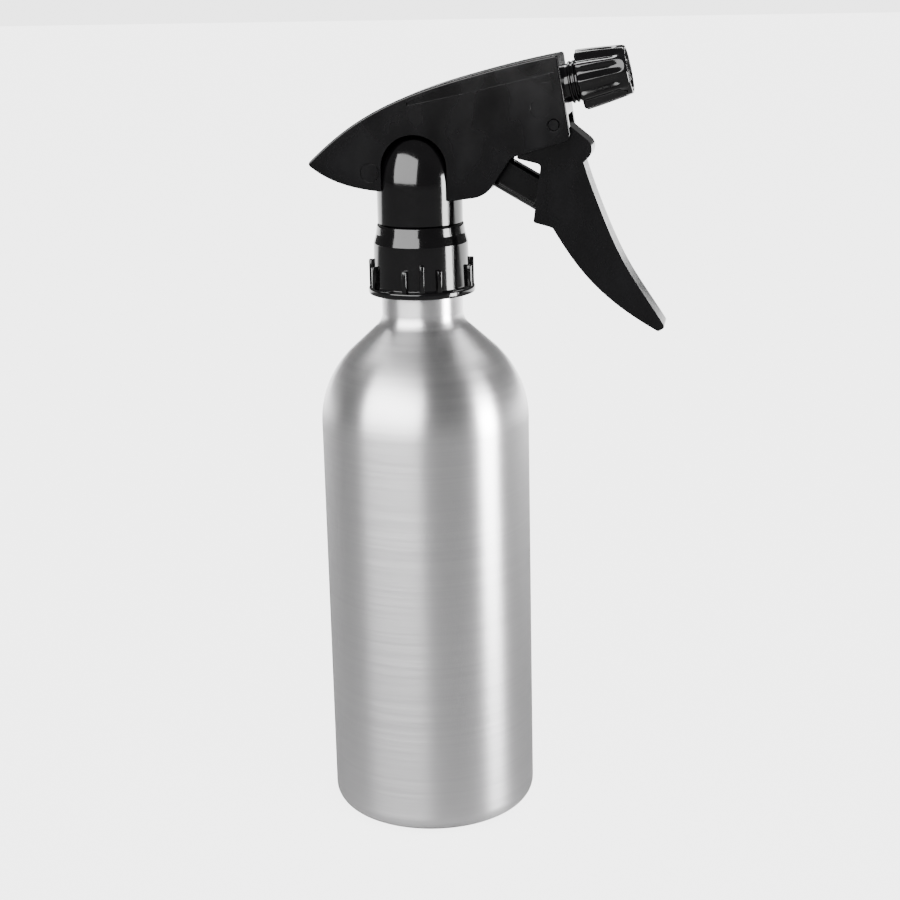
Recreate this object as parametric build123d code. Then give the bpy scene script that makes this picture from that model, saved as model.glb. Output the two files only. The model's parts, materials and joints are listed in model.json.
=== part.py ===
from build123d import *
from math import cos, radians, sin, sqrt, tan
import os

# Hand mister: an aluminium bottle with a screw-on trigger pump, as separate pieces.
# Millimetres. +Z is up, the origin is the centre of the bottle's base, the nozzle points to +X.
# Right is -Y and left is +Y, seen along the spray.

# Clearances
running_gap = 0.05  # radial, between a shaft and the hole that guides it
turning_gap = 0.1  # between flat faces that turn or seat on each other
loose_gap = 0.3  # between pieces that pass without guiding each other
sink = 0.4  # how far a rib or thread is buried in the wall that carries it
thread_play = 0.05  # along the axis, between the neck's ridge and the closure's

# Bottle
bottle_r = 33.0
bottle_wall = 0.8
base_corner_r = 5.85
body_top_z = 130.0  # where the straight wall turns into the shoulder
shoulder_r = 31.5
shoulder_turn = 47.7  # degrees from the vertical at the steepest part of the shoulder
shoulder_foot_r = 6.0  # hollow curve where the shoulder meets the neck
neck_r = 12.75
neck_wall = 1.0
neck_length = 22.55  # from the end of the hollow curve to the lip

# Neck thread
neck_pitch = 4.23
neck_turns = 1.5
neck_ridge = 0.9  # thread depth
neck_thread_drop = 11.6  # from the lip to the start of the thread

# Closure collar
closure_skirt_r = 15.0
closure_flange_r = 16.7
closure_flange_t = 2.1
closure_top_r = 13.5
closure_waist_r = 13.95
closure_height = 21.6
closure_bevel_top = 3.0  # from the collar's top down to the bevel that widens it
closure_bevel_foot = 5.8
closure_deck = 2.0  # thickness of the inward deck that grips the pump
grip_count = 4
grip_spread = 20.0  # degrees between the three ribs of one grip
grip_first_angle = -79.0
rib_width = 1.5
rib_reach = 16.4
rib_tall = 10.6
rib_short = 8.9

# Pump body
flange_inset = 0.45  # from the neck's outside to the edge of the flange that sits on it
flange_t = 1.9
gasket_t = 1.2
gasket_in_r = 6.4
spigot_inset = 2.1  # from the flange's edge to the spigot in the closure's deck
column_r = 13.3
column_straight = 17.55  # from the closure's top to the centre of the dome
barrel_r = 4.6
nose_r = 5.75
nose_shoulder = 0.75  # how far the collar behind the nose stands out
stub_r = 4.4
cylinder_bore_r = 5.5
cylinder_wall = 1.1
chamber_r = 2.6  # bore that holds the outlet valve
passage_r = 1.4
vent_r = 0.6
vent_x = -7.25

# Inlet: plug, ball and tube
plug_r = 4.95
plug_height = 11.0
tube_r = 2.6
tube_wall = 0.8
tube_floor_gap = 6.0
socket_r = 4.3
socket_length = 13.0
tube_depth = 16.0  # how far the tube goes into the plug
inlet_ball_r = 2.2
inlet_cage_r = 2.9
inlet_lift = 1.2
seat_depth = 1.3  # of the 45 degree seat under the inlet ball
outlet_ball_r = 2.1

# Nozzle axis, through the centre of the cap's back
nozzle_tilt = 12.1
nozzle_x = 50.05
nozzle_z = 235.8
nose_pitch = 1.3
nose_ridge = 0.6
nose_thread_back = -3.6
nose_thread_front = 2.4
stub_front = 8.0
valve_seat = -9.1

# Nozzle cap
cap_length = 15.1
cap_back_r = 9.25
cap_front_r = 7.4
cap_skirt = 7.4  # depth of the threaded bore
cap_chamber_r = 5.2
cap_front_wall = 3.1
flute_count = 11
flute_r = 1.7
hub_r = 3.2
insert_r = 2.25
orifice_r = 0.35

# Piston axis, through a point of the line on which it slides
piston_x = 26.65
piston_z = 208.25
piston_tilt = 30.0
mouth_at = 4.5  # the cylinder's mouth, along the axis from that point
bore_end = 19.5
head_at = 5.0
rod_front = -14.0
rod_height = 9.8
rod_width = 6.6
rod_flange = 1.2
rod_web = 1.8
rod_end_plate = 1.4
rod_core_r = 3.2
spring_wire_r = 0.35
spring_turns = 6

# Shroud
shroud_wall = 1.5
shroud_room = 0.9  # between the wall and the widest part of the pump inside it
edge_r = 0.6
roof_flange = 1.75
pocket_depth = 0.8
slot_half_width = 6.2
slot_top_z = 226.2
peg_r = 1.5
peg_places = ((-19.5, 212.5), (25.0, 220.6))
peg_boss_r = 2.6

# Trigger
pivot_x = 42.9
pivot_z = 223.4
pivot_pin_r = 1.75
pivot_pin_sunk = 0.3  # below the shroud's face at each end
trigger_half_width = 5.5
fork_half_width = 4.9
trigger_wall = 2.0
cheek_wall = 1.3
hub_eye_r = 3.3
push_bar_r = 2.0  # round bar inside the trigger that pushes the piston rod's end
push_bar_up = 1.0  # its height above the piston's axis at rest

# Values that follow from those above
flange_r = neck_r - flange_inset
spigot_r = flange_r - spigot_inset
pump_half_width = max(cylinder_bore_r + cylinder_wall, nose_r + nose_shoulder)
shroud_half_width = pump_half_width + shroud_room + shroud_wall
pivot_pin_length = 2 * (shroud_half_width - pivot_pin_sunk)
shoulder_rise = shoulder_r * sin(radians(shoulder_turn))
shoulder_end_r = bottle_r - shoulder_r * (1 - cos(radians(shoulder_turn)))
foot_drop = shoulder_foot_r * (1 - cos(radians(shoulder_turn)))
cone_length = (shoulder_end_r - neck_r - foot_drop) / sin(radians(shoulder_turn))
foot_rise = shoulder_foot_r * sin(radians(shoulder_turn))
neck_foot_z = body_top_z + shoulder_rise + cone_length * cos(radians(shoulder_turn)) + foot_rise
lip_z = neck_foot_z + neck_length
flange_z = lip_z + running_gap + gasket_t
deck_z = flange_z + flange_t + turning_gap
closure_top_z = deck_z + closure_deck
closure_z = closure_top_z - closure_height
column_z = closure_top_z + turning_gap
dome_z = column_z + column_straight
thread_bore_r = neck_r + neck_ridge + loose_gap
plug_top_z = flange_z + plug_height
cage_top_z = plug_top_z + inlet_lift + 2.5

nozzle_axis = Plane(
    origin=(nozzle_x, 0, nozzle_z),
    x_dir=(0, 1, 0),
    z_dir=(cos(radians(nozzle_tilt)), 0, sin(radians(nozzle_tilt))),
)
piston_axis = Plane(
    origin=(piston_x, 0, piston_z),
    x_dir=(0, 1, 0),
    z_dir=(-cos(radians(piston_tilt)), 0, sin(radians(piston_tilt))),
)


def turned(*points):
    """Solid of revolution about Z from an outline of (radius, height) points."""
    return revolve(Plane.XZ * Polygon(*points, align=None), Axis.Z)


def rod(radius, low, high):
    """Cylinder on Z from one height to another."""
    return Pos(0, 0, low) * Cylinder(radius, high - low, align=(Align.CENTER, Align.CENTER, Align.MIN))


def slab(face, y_low, y_high):
    """A face drawn in X and Z, thickened from one Y to another."""
    return extrude(Pos(0, y_low, 0) * (Plane.XZ * face), amount=y_high - y_low, dir=(0, 1, 0))


def cross_rod(radius, x, z, y_low, y_high):
    """Cylinder along Y at a place in X and Z."""
    return slab(Pos(x, z) * Circle(radius), y_low, y_high)


def ridge_height(depth, pitch):
    """Height of a thread ridge where it meets its wall."""
    return abs(depth) * 1.1 + pitch * 0.12


def thread(wall_r, depth, pitch, turns, start_z):
    """Right-hand thread ridge on a wall; a negative depth points inwards."""
    path = Helix(pitch=pitch, height=pitch * turns, radius=wall_r)
    foot = ridge_height(depth, pitch) / 2
    crest = foot * 0.45
    bury = -sink * depth / abs(depth)
    outline = Polygon((bury, -foot), (depth, -crest), (depth, crest), (bury, foot), align=None)
    section = Plane(origin=path @ 0, x_dir=(1, 0, 0), z_dir=path % 0) * outline
    return Pos(0, 0, start_z) * sweep(section, path=path, is_frenet=True)


def on_piston_axis(along, across):
    """Place in X and Z, given along the piston's axis and square to it (upwards)."""
    tilt = radians(piston_tilt)
    x = piston_x - along * cos(tilt) + across * sin(tilt)
    z = piston_z + along * sin(tilt) + across * cos(tilt)
    return (x, z)


def bottle_outline(inset, bottom, top):
    """Bottle section, moved inwards by a wall thickness."""
    wall_r = bottle_r - inset
    corner_r = base_corner_r - inset
    floor = Line((0, bottom), (wall_r - corner_r, bottom))
    corner = JernArc(start=floor @ 1, tangent=(1, 0), radius=corner_r, arc_size=90)
    wall = Line(corner @ 1, (wall_r, body_top_z))
    shoulder = JernArc(start=wall @ 1, tangent=(0, 1), radius=shoulder_r - inset, arc_size=shoulder_turn)
    cone = Line(shoulder @ 1, shoulder @ 1 + (shoulder % 1) * cone_length)
    hollow_r = shoulder_foot_r + inset
    foot = JernArc(start=cone @ 1, tangent=shoulder % 1, radius=hollow_r, arc_size=-shoulder_turn)
    neck = Line(foot @ 1, ((foot @ 1).X, top))
    lid = Line(neck @ 1, (0, top))
    middle = Line(lid @ 1, (0, bottom))
    return make_face(Curve() + [floor, corner, wall, shoulder, cone, foot, neck, lid, middle])


def make_bottle():
    outside = revolve(Plane.XZ * bottle_outline(0, 0, lip_z), Axis.Z)
    inside = revolve(Plane.XZ * bottle_outline(bottle_wall, bottle_wall, lip_z + 1), Axis.Z)
    liner = rod(neck_r, neck_foot_z, lip_z) - rod(neck_r - neck_wall, neck_foot_z, lip_z)
    ridge = thread(neck_r, neck_ridge, neck_pitch, neck_turns, lip_z - neck_thread_drop)
    return outside - inside + liner + ridge


def grip_rib(angle, height):
    """Upright rib on the closure's skirt, standing on its flange."""
    foot_z = closure_z + closure_flange_t
    inner = closure_skirt_r - sink
    side = Polygon(
        (inner, foot_z - sink),
        (rib_reach + 0.2, foot_z - sink),
        (rib_reach, foot_z + height - 0.5),
        (rib_reach - 0.4, foot_z + height),
        (inner, foot_z + height),
        align=None,
    )
    return Rot(0, 0, angle) * slab(side, -rib_width / 2, rib_width / 2)


def make_closure_collar():
    skirt_top = closure_top_z - closure_bevel_foot
    waist_z = closure_top_z - closure_bevel_top
    outside = turned(
        (0, closure_z),
        (closure_flange_r - 0.3, closure_z),
        (closure_flange_r, closure_z + 0.3),
        (closure_flange_r, closure_z + closure_flange_t - 0.4),
        (closure_flange_r - 0.4, closure_z + closure_flange_t),
        (closure_skirt_r, closure_z + closure_flange_t),
        (closure_skirt_r - 0.25, skirt_top),
        (closure_waist_r, waist_z),
        (closure_top_r, closure_top_z - 0.4),
        (closure_top_r - 0.4, closure_top_z),
        (0, closure_top_z),
    )
    shelf_r = neck_r + loose_gap
    chamber = turned(
        (0, closure_z - 1),
        (thread_bore_r, closure_z - 1),
        (thread_bore_r, lip_z - 3.6),
        (shelf_r, lip_z - 2.6),
        (shelf_r, lip_z + 0.4),
        (flange_r + loose_gap, lip_z + 0.9),
        (flange_r + loose_gap, deck_z),
        (0, deck_z),
    )
    body = outside - chamber - rod(spigot_r + turning_gap, deck_z - 1, closure_top_z + 1)
    drop = neck_thread_drop + ridge_height(neck_ridge, neck_pitch) + thread_play
    body += thread(thread_bore_r, -neck_ridge, neck_pitch, neck_turns, lip_z - drop)
    for grip in range(grip_count):
        centre = grip_first_angle + grip * 360 / grip_count
        body += grip_rib(centre, rib_tall)
        body += grip_rib(centre - grip_spread, rib_short)
        body += grip_rib(centre + grip_spread, rib_short)
    return body


def make_neck_gasket():
    low = lip_z + running_gap
    lip = gasket_t * 0.55
    return turned(
        (neck_r - neck_wall - 0.6, low),
        (flange_r - 0.1, low),
        (flange_r - 0.1, flange_z),
        (gasket_in_r, flange_z),
        (gasket_in_r, flange_z - gasket_t + lip),
        (neck_r - neck_wall - 0.9, flange_z - gasket_t + lip),
    )


def make_tube_retainer():
    """Plug under the pump: it holds the tube and carries the inlet valve's seat."""
    under_z = flange_z - turning_gap
    rim_r = gasket_in_r - 0.2
    socket_z = under_z - 1.4
    plug = turned(
        (0, socket_z - socket_length),
        (socket_r - 0.3, socket_z - socket_length),
        (socket_r, socket_z - socket_length + 0.3),
        (socket_r, socket_z),
        (rim_r, socket_z),
        (rim_r, under_z),
        (plug_r, under_z),
        (plug_r, plug_top_z - 0.4),
        (plug_r - 0.3, plug_top_z - 0.1),
        (0, plug_top_z - 0.1),
    )
    tube_stop = socket_z - socket_length + tube_depth
    plug -= rod(tube_r + running_gap, socket_z - socket_length - 1, tube_stop)
    plug -= rod(passage_r, tube_stop - 1, plug_top_z)
    return plug - turned(
        (0, plug_top_z - seat_depth),
        (passage_r, plug_top_z - seat_depth),
        (passage_r + seat_depth, plug_top_z),
        (0, plug_top_z),
    )


def make_dip_tube():
    top = flange_z - turning_gap - 1.4 - socket_length + tube_depth - turning_gap
    tube = rod(tube_r, tube_floor_gap, top) - rod(tube_r - tube_wall, tube_floor_gap - 1, top + 1)
    reach = tube_r + 1
    below = tube_floor_gap - 1
    notch = Polygon((-reach, below), (reach, below), (0, tube_floor_gap + 2.5), align=None)
    return tube - slab(notch, -reach, reach)


def make_inlet_valve_ball():
    seat_foot_z = plug_top_z - seat_depth - passage_r
    return Pos(0, 0, seat_foot_z + (inlet_ball_r + turning_gap) * sqrt(2)) * Sphere(inlet_ball_r)


def make_pump_body():
    body = rod(flange_r, flange_z, flange_z + flange_t) + rod(spigot_r, flange_z, column_z + 1)
    body += rod(column_r, column_z, dome_z) + Pos(0, 0, dome_z) * Sphere(column_r)
    barrel_back = -nozzle_x / cos(radians(nozzle_tilt)) - 1.5
    collar_front = nose_thread_back - 2.9
    body += nozzle_axis * rod(barrel_r, barrel_back, collar_front)
    body += nozzle_axis * rod(nose_r + nose_shoulder, collar_front - 2, collar_front)
    body += nozzle_axis * rod(nose_r, collar_front - 1, nose_thread_front)
    body += nozzle_axis * rod(stub_r, nose_thread_front - 1, stub_front)
    nose_turns = (nose_thread_front - nose_thread_back) / nose_pitch - 0.6
    body += nozzle_axis * thread(nose_r, nose_ridge, nose_pitch, nose_turns, nose_thread_back + 0.4)
    body += piston_axis * rod(cylinder_bore_r + cylinder_wall, mouth_at, bore_end + 2)
    body -= piston_axis * rod(cylinder_bore_r, mouth_at - 1, bore_end)
    junction = piston_x / cos(radians(piston_tilt))
    body -= piston_axis * rod(passage_r, bore_end - 1, junction)
    body -= rod(plug_r + running_gap, flange_z - 1, plug_top_z)
    body -= rod(inlet_cage_r, plug_top_z - 1, cage_top_z)
    barrel_z = nozzle_z - nozzle_x * tan(radians(nozzle_tilt))
    body -= rod(passage_r, cage_top_z - 1, barrel_z)
    body -= nozzle_axis * rod(passage_r, -nozzle_x / cos(radians(nozzle_tilt)), valve_seat + 0.5)
    body -= nozzle_axis * turned(
        (0, valve_seat),
        (passage_r, valve_seat),
        (chamber_r, valve_seat + chamber_r - passage_r),
        (chamber_r, stub_front + 1),
        (0, stub_front + 1),
    )
    return body - Pos(vent_x, 0, 0) * rod(vent_r, flange_z - 1, dome_z + column_r)


def make_outlet_valve_ball():
    centre = valve_seat - passage_r + (outlet_ball_r + turning_gap) * sqrt(2)
    return nozzle_axis * (Pos(0, 0, centre) * Sphere(outlet_ball_r))


def coil(mean_r, wire_r, low, high, turns):
    """Round-wire compression spring on Z."""
    path = Helix(pitch=(high - low - 2 * wire_r) / turns, height=high - low - 2 * wire_r, radius=mean_r)
    section = Plane(origin=path @ 0, x_dir=(1, 0, 0), z_dir=path % 0) * Circle(wire_r)
    return Pos(0, 0, low + wire_r) * sweep(section, path=path, is_frenet=True)


def make_outlet_valve_spring():
    ball_front = valve_seat - passage_r + (outlet_ball_r + turning_gap) * sqrt(2) + outlet_ball_r
    return nozzle_axis * coil(1.45, 0.2, ball_front - 0.35, 3.1, 7)


def make_spinner():
    """Plug in the nose that sets the liquid turning and closes the orifice when screwed home."""
    body = turned(
        (0, 1.6),
        (1.0, 1.6),
        (1.0, 3.2),
        (chamber_r - running_gap, 3.2),
        (chamber_r - running_gap, stub_front - 0.3),
        (1.2, stub_front - 0.3),
        (1.2, stub_front + 0.6),
        (0, stub_front + 0.6),
    )
    for angle in (0, 120, 240):
        body -= Rot(0, 0, angle) * (Pos(chamber_r, 0, 5.5) * Box(1.6, 0.9, 8))
    return nozzle_axis * body


def make_nozzle_cap():
    back = Polyline((0, 0), (cap_back_r - 0.5, 0), (cap_back_r, 0.5))
    middle_r = cap_back_r - 0.35
    bulge = ThreePointArc(back @ 1, (middle_r, cap_length / 2), (cap_front_r + 0.2, cap_length - 0.4))
    front = Polyline(bulge @ 1, (cap_front_r - 0.2, cap_length), (0, cap_length), (0, 0))
    body = revolve(Plane.XZ * make_face(Curve() + [back, bulge, front]), Axis.Z)
    bore_r = nose_r + nose_ridge + loose_gap
    body -= rod(bore_r, -1, cap_skirt)
    body -= rod(cap_chamber_r, cap_skirt - 1, cap_length - cap_front_wall)
    body -= rod(insert_r + running_gap, cap_skirt, cap_length + 1)
    recess_floor = cap_length - 1.8
    body -= rod(cap_front_r - 1.0, recess_floor, cap_length + 1) - rod(hub_r, recess_floor - 1, cap_length + 1)
    for step in range(flute_count):
        flute = Pos(cap_back_r + flute_r * 0.62, 0, -1) * Rot(0, 4.0, 0) * rod(flute_r, 0, cap_length + 2)
        body -= Rot(0, 0, step * 360 / flute_count) * flute
    body += thread(bore_r, -nose_ridge, nose_pitch, 1.6, nose_thread_back + 0.4 + nose_pitch * 3.5)
    return nozzle_axis * body


def make_nozzle_seal():
    low = cap_skirt - 1.5
    high = cap_skirt - turning_gap
    outer_r = nose_r + nose_ridge + loose_gap - 0.15
    inner_r = stub_r + running_gap
    return nozzle_axis * turned(
        (inner_r, low + 0.4),
        (inner_r + 0.4, low),
        (outer_r - 0.4, low),
        (outer_r, low + 0.4),
        (outer_r, high),
        (inner_r, high),
    )


def make_orifice_insert():
    back = cap_length - cap_front_wall + turning_gap
    front = cap_length - 0.3
    insert = rod(insert_r, back, front)
    insert -= turned((0, front - 0.8), (orifice_r, front - 0.8), (1.3, front), (1.3, front + 1), (0, front + 1))
    return nozzle_axis * (insert - rod(orifice_r, back - 1, front))


def make_piston_rod():
    standing = (Align.CENTER, Align.CENTER, Align.MIN)
    length = head_at - rod_front + sink
    stem = Pos(0, 0, rod_front) * Box(rod_web, rod_height, length, align=standing)
    for side in (-1, 1):
        flange_y = side * (rod_height - rod_flange) / 2
        stem += Pos(0, flange_y, rod_front) * Box(rod_width, rod_flange, length, align=standing)
    stem += Pos(0, 0, rod_front) * Box(rod_width, rod_height, rod_end_plate, align=standing)
    stem &= rod(cylinder_bore_r - loose_gap, rod_front, head_at + 1)
    head_r = cylinder_bore_r - loose_gap
    body = stem + rod(head_r, head_at, head_at + 0.7) + rod(rod_core_r, head_at, head_at + 4.1)
    body += rod(head_r - 0.3, head_at + 1.9, head_at + 2.4)
    body -= rod(rod_core_r - 0.6, head_at - 0.6, head_at + 5)
    return piston_axis * body


def seal_ring(low, high, lip):
    """Soft ring on the piston's core with a lip towards the pressure side."""
    outer_r = cylinder_bore_r - running_gap
    inner_r = rod_core_r + 0.02
    groove_r = (outer_r + inner_r) / 2
    ring = turned(
        (inner_r, low),
        (outer_r - 0.3, low),
        (outer_r, low + 0.3),
        (outer_r, high),
        (outer_r - 0.4, high),
        (groove_r, high - lip),
        (inner_r + 0.4, high),
        (inner_r, high),
    )
    return piston_axis * ring


def make_piston_wiper():
    return seal_ring(head_at + 0.75, head_at + 1.85, 0.3)


def make_piston_cup():
    return seal_ring(head_at + 2.45, head_at + 4.3, 0.9)


def make_return_spring():
    return piston_axis * coil(2.1, spring_wire_r, head_at - 0.5, bore_end - 0.1, spring_turns)


def shroud_outline():
    """Side view of the shroud: tail, roof, front end, underside and the lobe round the cylinder."""
    tail = (-33.3, 211.9)
    front_top = (44.1, 244.0)
    roof_points = (tail, (-21.5, 221.8), (-2.2, 232.0), (18.0, 238.2), front_top)
    roof = Spline(*roof_points, tangents=((1, 0.95), (1, 0.18)))
    corners = (front_top, (48.2, 218.85), (30.0, 213.7), (22.0, 201.9), (9.0, 200.3))
    belly = FilletPolyline(*corners, radius=(2.5, 3, 9))
    middle = Line(belly @ 1, (-9.0, 203.3))
    under = Spline(middle @ 1, (-23.1, 206.0), tail, tangents=((-1, 0.08), (-1, 0.9)))
    face = make_face(Curve() + [roof, belly, middle, under])
    face = fillet(face.vertices().sort_by(Axis.X)[0], 1.0)
    return fillet(face.vertices().sort_by(Axis.Y)[-1], 0.8)


def inset(outline, amount):
    """Outline moved inwards, with its offset curves redrawn as splines that any program can read."""
    redrawn = []
    for edge in offset(outline, -amount).edges():
        if edge.geom_type == GeomType.OFFSET:
            edge = Spline([edge @ (step / 12) for step in range(13)])
        redrawn.append(edge)
    return make_face(Curve() + redrawn)


def side_pocket(outline):
    """Long recess under the roof's edge."""
    below_roof = inset(outline, roof_flange)
    window = Polygon((-1.7, 229.3), (17.9, 233.2), (43.4, 238.9), (43.4, 245.0), (-1.7, 245.0), align=None)
    return below_roof & window


def side_marks(side, outline):
    """Recesses moulded in the outer face of one half."""
    face_y = side * shroud_half_width

    def cut(shape, depth):
        return slab(shape, min(face_y, face_y - side * depth), max(face_y, face_y - side * depth))

    frame = Polygon((36.2, 236.6), (43.6, 237.5), (44.7, 230.4), align=None)
    island = offset(frame, -1.2)
    ring = Circle(3.0) - Circle(2.7)
    marks = cut(side_pocket(outline), pocket_depth)
    marks += cut(frame - island, 0.5)
    marks += cut(Pos(38.9, 228.2) * Circle(2.9), 0.4)
    return marks + cut(Pos(-13.6, 209.3) * ring, 0.3)


def trigger_slot():
    """Opening in the lobe, underside and front end for the piston rod and the trigger."""
    under_rod = -rod_height / 2 - 0.7
    face = Polygon(
        on_piston_axis(-8, under_rod),
        on_piston_axis(mouth_at - 0.1, under_rod),
        on_piston_axis(mouth_at - 0.1, 9),
        (31.0, 217.5),
        (44.2, 220.6),
        (44.2, slot_top_z),
        (52.0, slot_top_z),
        (52.0, 205.0),
        align=None,
    )
    return slab(face, -slot_half_width, slot_half_width)


def make_shroud_half(side):
    outline = shroud_outline()
    outer_y = side * shroud_half_width
    shell = slab(outline, min(0, outer_y), max(0, outer_y))
    face_edges = shell.faces().sort_by(Axis.Y)[-1 if side > 0 else 0].edges()
    shell = fillet(face_edges, edge_r)
    inner_y = side * (shroud_half_width - shroud_wall)
    shell -= slab(inset(outline, shroud_wall), min(-side, inner_y), max(-side, inner_y))
    boss = Circle(peg_boss_r)
    for place in peg_places:
        shell += slab(Pos(*place) * boss, min(0, outer_y - side), max(0, outer_y - side))
    eye_y = side * (trigger_half_width + loose_gap)
    ends = sorted((eye_y, outer_y - side))
    shell += cross_rod(pivot_pin_r + 1.6, pivot_x, pivot_z, *ends)
    reach = shroud_half_width + 1
    shell -= cross_rod(pivot_pin_r + running_gap, pivot_x, pivot_z, -reach, reach)
    rim_y = outer_y - side * 0.5
    shell -= cross_rod(pivot_pin_r + 0.35, pivot_x, pivot_z, min(rim_y, outer_y), max(rim_y, outer_y))
    shell -= rod(column_r + loose_gap, 0, dome_z) + Pos(0, 0, dome_z) * Sphere(column_r + loose_gap)
    shell -= nozzle_axis * rod(nose_r + turning_gap, -20, 5)
    shell -= trigger_slot()
    return shell - side_marks(side, outline)


def make_shroud_left():
    shell = make_shroud_half(1)
    for x, z in peg_places:
        shell += cross_rod(peg_r, x, z, -5, 1)
    return shell


def make_shroud_right():
    shell = make_shroud_half(-1)
    for x, z in peg_places:
        shell -= cross_rod(peg_r + running_gap, x, z, -5.5, 1)
    return shell


def trigger_outline():
    """Side view of the trigger: finger blade in front, fork and hub behind."""
    nose = FilletPolyline((46.9, 223.3), (55.9, 216.0), (51.5, 211.9), radius=3.6)
    front = Spline(nose @ 1, (56.8, 197.0), (64.4, 180.4), (76.4, 161.6), tangents=((0.3, -1), (0.52, -0.85)))
    tip = Line(front @ 1, (74.2, 160.3))
    back = Spline(tip @ 1, (64.4, 166.5), (53.3, 176.2), (42.0, 192.0), tangents=((-1, 0.58), (-0.6, 1)))
    heel = (back @ 1, (36.0, 193.6), (38.5, 211.2), (31.2, 213.0), (31.8, 216.6))
    step = FilletPolyline(*heel, radius=(0.8, 1.2, 0.6))
    crown = Polyline(step @ 1, (39.9, 225.0), nose @ 0)
    face = make_face(Curve() + [nose, front, tip, back, step, crown])
    return fillet(face.vertices().sort_by(Axis.Y)[:2], 0.9)


def make_trigger():
    outline = trigger_outline()
    body = slab(outline, -trigger_half_width, trigger_half_width)
    fork = Polygon(
        (28.0, 190.0),
        (41.3, 190.0),
        (40.3, 200.9),
        (40.8, 211.6),
        (41.8, 216.2),
        (36.0, 221.0),
        (28.0, 221.0),
        align=None,
    )
    body -= slab(fork, -trigger_half_width - 1, -fork_half_width)
    body -= slab(fork, fork_half_width, trigger_half_width + 1)
    inside_y = fork_half_width - cheek_wall
    below_hub = Polygon((20.0, 150.0), (90.0, 150.0), (90.0, 210.5), (20.0, 210.5), align=None)
    channel = outline & (Pos(-trigger_wall * 0.86, -trigger_wall * 0.51) * outline) & below_hub
    body -= slab(channel, -inside_y, inside_y)
    bar_at = rod_front - loose_gap - push_bar_r
    body += cross_rod(push_bar_r, *on_piston_axis(bar_at, push_bar_up), -inside_y - sink, inside_y + sink)
    web = Polygon(
        on_piston_axis(bar_at, push_bar_up - 0.7),
        on_piston_axis(bar_at, push_bar_up + 0.7),
        on_piston_axis(bar_at - 20, push_bar_up + 0.7),
        on_piston_axis(bar_at - 20, push_bar_up - 0.7),
        align=None,
    )
    body += slab(web & outline, -inside_y - sink, inside_y + sink)
    for rib_z in (169.0, 176.0, 183.0):
        strip = Polygon((40.0, rib_z), (80.0, rib_z), (80.0, rib_z + 1.2), (40.0, rib_z + 1.2), align=None)
        body += slab(channel & strip, -inside_y - sink, inside_y + sink)
    body += cross_rod(hub_eye_r, pivot_x, pivot_z, -trigger_half_width, trigger_half_width)
    bore_r = pivot_pin_r + running_gap
    return body - cross_rod(bore_r, pivot_x, pivot_z, -trigger_half_width - 1, trigger_half_width + 1)


def make_trigger_pivot_pin():
    half = pivot_pin_length / 2
    pin = cross_rod(pivot_pin_r, pivot_x, pivot_z, -half, half)
    return chamfer(pin.edges().filter_by(GeomType.CIRCLE), 0.2)


pieces = {
    "bottle": make_bottle(),
    "closure_collar": make_closure_collar(),
    "neck_gasket": make_neck_gasket(),
    "tube_retainer": make_tube_retainer(),
    "dip_tube": make_dip_tube(),
    "inlet_valve_ball": make_inlet_valve_ball(),
    "pump_body": make_pump_body(),
    "piston_rod": make_piston_rod(),
    "piston_wiper": make_piston_wiper(),
    "piston_cup": make_piston_cup(),
    "return_spring": make_return_spring(),
    "trigger": make_trigger(),
    "trigger_pivot_pin": make_trigger_pivot_pin(),
    "outlet_valve_ball": make_outlet_valve_ball(),
    "outlet_valve_spring": make_outlet_valve_spring(),
    "spinner": make_spinner(),
    "nozzle_cap": make_nozzle_cap(),
    "nozzle_seal": make_nozzle_seal(),
    "orifice_insert": make_orifice_insert(),
    "shroud_left": make_shroud_left(),
    "shroud_right": make_shroud_right(),
}

os.makedirs("parts", exist_ok=True)
for name, piece in pieces.items():
    export_step(piece, f"parts/{name}.step")
    print(f"{name}: {piece.volume:.1f} mm3, {len(piece.solids())} solid")
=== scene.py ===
# %% [markdown]
# # A hand mister, finished in Blender
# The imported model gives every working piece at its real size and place. This file adds what the
# eye sees: brushed aluminium, moulded black plastic, threads, flutes, ribs and softened edges.
# Each cell makes one thing and prints what it made, so the file reads from top to bottom.

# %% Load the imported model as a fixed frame
import json
from math import atan2, cos, pi, radians, sin, tan

import bmesh
import bpy
from mathutils import Matrix, Vector


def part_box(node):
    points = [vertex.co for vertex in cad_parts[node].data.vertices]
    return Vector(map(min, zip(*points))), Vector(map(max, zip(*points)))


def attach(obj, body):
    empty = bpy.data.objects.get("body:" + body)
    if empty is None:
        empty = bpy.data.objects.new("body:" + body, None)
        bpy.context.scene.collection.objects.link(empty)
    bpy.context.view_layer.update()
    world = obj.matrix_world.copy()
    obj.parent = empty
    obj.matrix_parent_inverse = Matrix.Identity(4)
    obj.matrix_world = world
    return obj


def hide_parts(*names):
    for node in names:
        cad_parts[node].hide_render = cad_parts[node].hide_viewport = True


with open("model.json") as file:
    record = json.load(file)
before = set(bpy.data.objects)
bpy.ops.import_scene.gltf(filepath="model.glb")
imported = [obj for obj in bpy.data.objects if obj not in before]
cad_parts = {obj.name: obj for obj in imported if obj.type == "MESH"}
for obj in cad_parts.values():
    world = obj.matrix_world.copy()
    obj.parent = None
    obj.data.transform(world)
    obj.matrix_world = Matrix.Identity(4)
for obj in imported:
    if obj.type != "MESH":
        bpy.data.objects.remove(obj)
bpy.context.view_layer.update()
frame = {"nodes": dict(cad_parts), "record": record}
MM = 0.001

# %% [markdown]
# ## Camera
# The viewer stands a little to the right of the mister's side and looks down at it. The camera
# is a real place in the room: a point, a heading, a downward tilt and a slight roll. Building
# its matrix from those four keeps the numbers readable.

# %% Camera
camera_place = Vector((110.3, -567.5, 278.3)) * MM
camera_heading = 10.25
camera_down = 15.39
camera_roll = -1.34

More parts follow.
